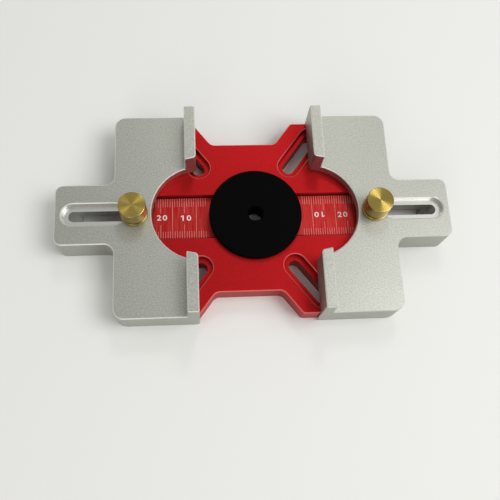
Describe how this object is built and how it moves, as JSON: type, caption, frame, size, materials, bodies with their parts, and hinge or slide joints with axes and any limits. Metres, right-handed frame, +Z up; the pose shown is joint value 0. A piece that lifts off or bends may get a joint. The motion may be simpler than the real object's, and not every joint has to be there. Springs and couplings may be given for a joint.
{
  "type": "wood slotting jig",
  "caption": "Router slotting jig: a slotted red base plate with a centring disc, and silver jaws that slide to grip a board and lock with brass thumbscrews.",
  "frame": {"origin": "underside of the base plate, on the axis of the centring disc's hole, which is the axis of the cutter", "axes": "+X to the right along the jaws' travel, +Y away from the camera, +Z up out of the base plate"},
  "size_m": [0.165, 0.088, 0.0249],
  "materials": {
    "red_anodised": "red anodised, satin",
    "silver_blasted": "bead blasted and clear anodised",
    "black_plastic": "turned, matte",
    "brass": "turned, bright"
  },
  "bodies": {
    "base": {"base_plate": "red_anodised", "centring_disc": "black_plastic"},
    "left_jaw_body": {"left_jaw": "silver_blasted"},
    "right_jaw_body": {"right_jaw": "silver_blasted"},
    "left_washer_body": {"left_washer": "brass"},
    "right_washer_body": {"right_washer": "brass"},
    "left_screw_body": {"left_thumbscrew": "brass"},
    "right_screw_body": {"right_thumbscrew": "brass"}
  },
  "joints": [
    {"name": "left_jaw_slide", "type": "slide", "parent": "base", "child": "left_jaw_body", "axis": [1, 0, 0], "range_m": [0, 0.0165]},
    {"name": "right_jaw_slide", "type": "slide", "parent": "base", "child": "right_jaw_body", "axis": [-1, 0, 0], "range_m": [0, 0.0165]},
    {"name": "left_screw_lift", "type": "slide", "parent": "base", "child": "left_washer_body", "axis": [0, 0, 1], "range_m": [0, 0.0021]},
    {"name": "left_screw_turn", "type": "hinge", "parent": "left_washer_body", "child": "left_screw_body", "pos_m": [-0.0503, 0, 0.015], "axis": [0, 0, 1], "range_deg": [0, 1080]},
    {"name": "right_screw_lift", "type": "slide", "parent": "base", "child": "right_washer_body", "axis": [0, 0, 1], "range_m": [0, 0.0021]},
    {"name": "right_screw_turn", "type": "hinge", "parent": "right_washer_body", "child": "right_screw_body", "pos_m": [0.0503, 0, 0.015], "axis": [0, 0, 1], "range_deg": [0, 1080]}
  ],
  "couplings": [
    {"joint": "left_screw_lift", "follows": "left_screw_turn", "m_per_rad": 0.0001114},
    {"joint": "right_screw_lift", "follows": "right_screw_turn", "m_per_rad": 0.0001114}
  ]
}
